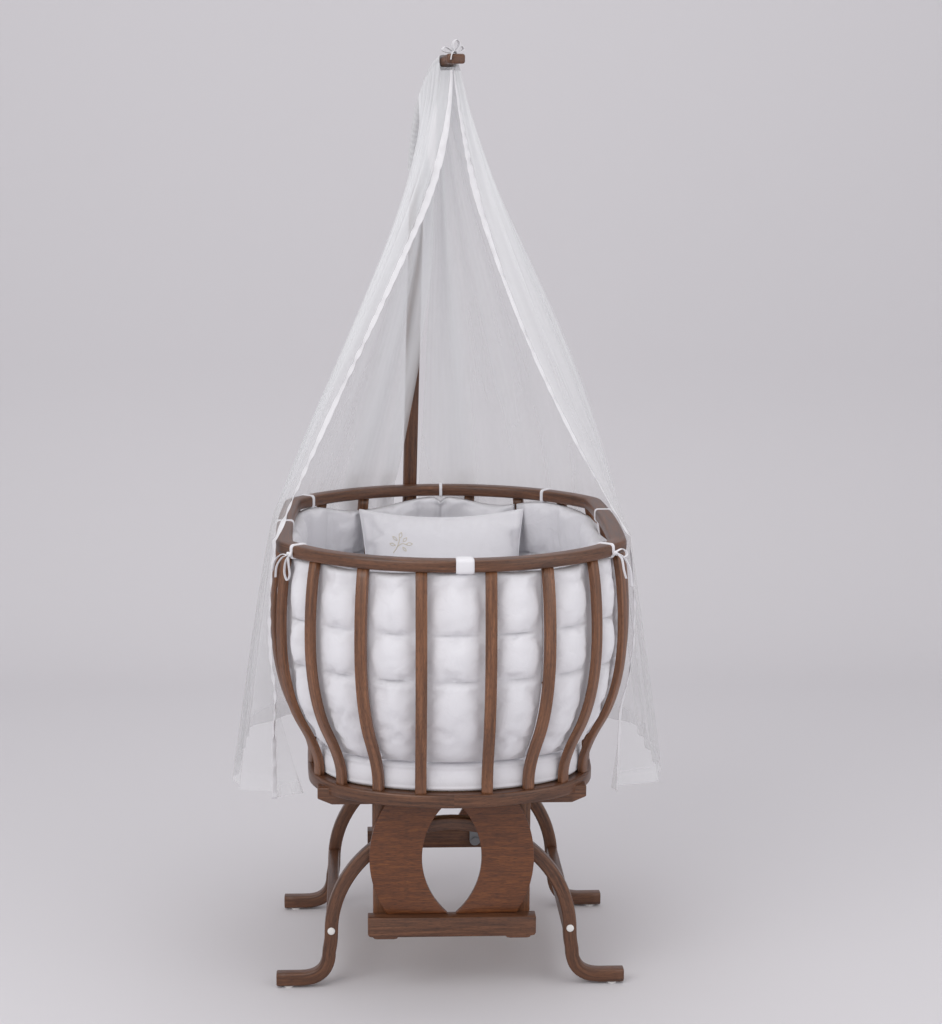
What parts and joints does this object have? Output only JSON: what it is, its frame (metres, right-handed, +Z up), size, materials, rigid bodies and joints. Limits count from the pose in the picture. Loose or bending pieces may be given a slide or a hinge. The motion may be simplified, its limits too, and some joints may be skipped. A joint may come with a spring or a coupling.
{
  "type": "rocking cradle",
  "caption": "Wooden rocking cradle with an oval slatted basket hung from bentwood arches, quilted bumpers and a tulle canopy.",
  "frame": {"origin": "on the floor under the middle of the overall box", "axes": "+X across the cradle, the way it swings, +Y from the foot end to the head end, +Z up"},
  "size_m": [0.8762, 0.942, 1.8549],
  "materials": {
    "stained_wood": "satin stained beech",
    "panel_wood": "satin stained plywood",
    "plywood": "plain plywood",
    "steel": "zinc plated",
    "white_plastic": "white moulded",
    "cotton": "white quilted cotton",
    "tulle": "white sheer net",
    "satin": "off-white satin ribbon"
  },
  "bodies": {
    "stand": {"front_leg": "stained_wood", "stretcher_bolt_front_left": "white_plastic", "glide_front_left": "white_plastic", "upper_pin_front_left": "steel", "stretcher_bolt_front_right": "white_plastic", "glide_front_right": "white_plastic", "upper_pin_front_right": "steel", "rear_leg": "stained_wood", "stretcher_bolt_rear_left": "white_plastic", "glide_rear_left": "white_plastic", "upper_pin_rear_left": "steel", "stretcher_bolt_rear_right": "white_plastic", "glide_rear_right": "white_plastic", "upper_pin_rear_right": "steel", "left_stretcher": "stained_wood", "right_stretcher": "stained_wood"},
    "link_front_left": {"link_front_left": "steel"},
    "link_front_right": {"link_front_right": "steel"},
    "link_rear_left": {"link_rear_left": "steel"},
    "link_rear_right": {"link_rear_right": "steel"},
    "carriage": {"front_crossbar": "stained_wood", "front_bearer": "stained_wood", "lower_pin_front_left": "steel", "post_front_left": "stained_wood", "panel_front_left": "panel_wood", "lower_pin_front_right": "steel", "post_front_right": "stained_wood", "panel_front_right": "panel_wood", "rear_crossbar": "stained_wood", "rear_bearer": "stained_wood", "lower_pin_rear_left": "steel", "post_rear_left": "stained_wood", "panel_rear_left": "panel_wood", "lower_pin_rear_right": "steel", "post_rear_right": "stained_wood", "panel_rear_right": "panel_wood", "slatted_frame": "stained_wood", "base_board": "plywood", "rim": "stained_wood", "mast": "stained_wood", "mast_head": "stained_wood", "mast_bolt_upper": "steel", "mast_bolt_lower": "steel", "mattress": "cotton", "pillow": "cotton", "bumper_front": "cotton", "bumper_rear": "cotton", "bumper_left": "cotton", "bumper_right": "cotton", "canopy_sleeve": "tulle", "canopy_left": "tulle", "canopy_right": "tulle", "canopy_trim": "satin", "tie_front": "cotton", "tie_right_front": "cotton", "tie_right_rear": "cotton", "tie_rear": "cotton", "tie_left_rear": "cotton", "tie_left": "cotton", "tie_left_front": "cotton"}
  },
  "joints": [
    {"name": "swing", "type": "hinge", "parent": "stand", "child": "link_front_left", "pos_m": [-0.072, -0.2616, 0.32912], "axis": [0, 1, 0], "range_deg": [-12, 12]},
    {"name": "carriage_level", "type": "hinge", "parent": "link_front_left", "child": "carriage", "pos_m": [-0.072, -0.2616, 0.145], "axis": [0, 1, 0], "range_deg": [-12, 12]},
    {"name": "swing_front_right", "type": "hinge", "parent": "stand", "child": "link_front_right", "pos_m": [0.072, -0.2616, 0.32912], "axis": [0, 1, 0], "range_deg": [-12, 12]},
    {"name": "swing_rear_left", "type": "hinge", "parent": "stand", "child": "link_rear_left", "pos_m": [-0.072, 0.2374, 0.32912], "axis": [0, 1, 0], "range_deg": [-12, 12]},
    {"name": "swing_rear_right", "type": "hinge", "parent": "stand", "child": "link_rear_right", "pos_m": [0.072, 0.2374, 0.32912], "axis": [0, 1, 0], "range_deg": [-12, 12]}
  ],
  "couplings": [
    {"joint": "carriage_level", "follows": "swing", "ratio": -1},
    {"joint": "swing_front_right", "follows": "swing", "ratio": 1},
    {"joint": "swing_rear_left", "follows": "swing", "ratio": 1},
    {"joint": "swing_rear_right", "follows": "swing", "ratio": 1}
  ]
}
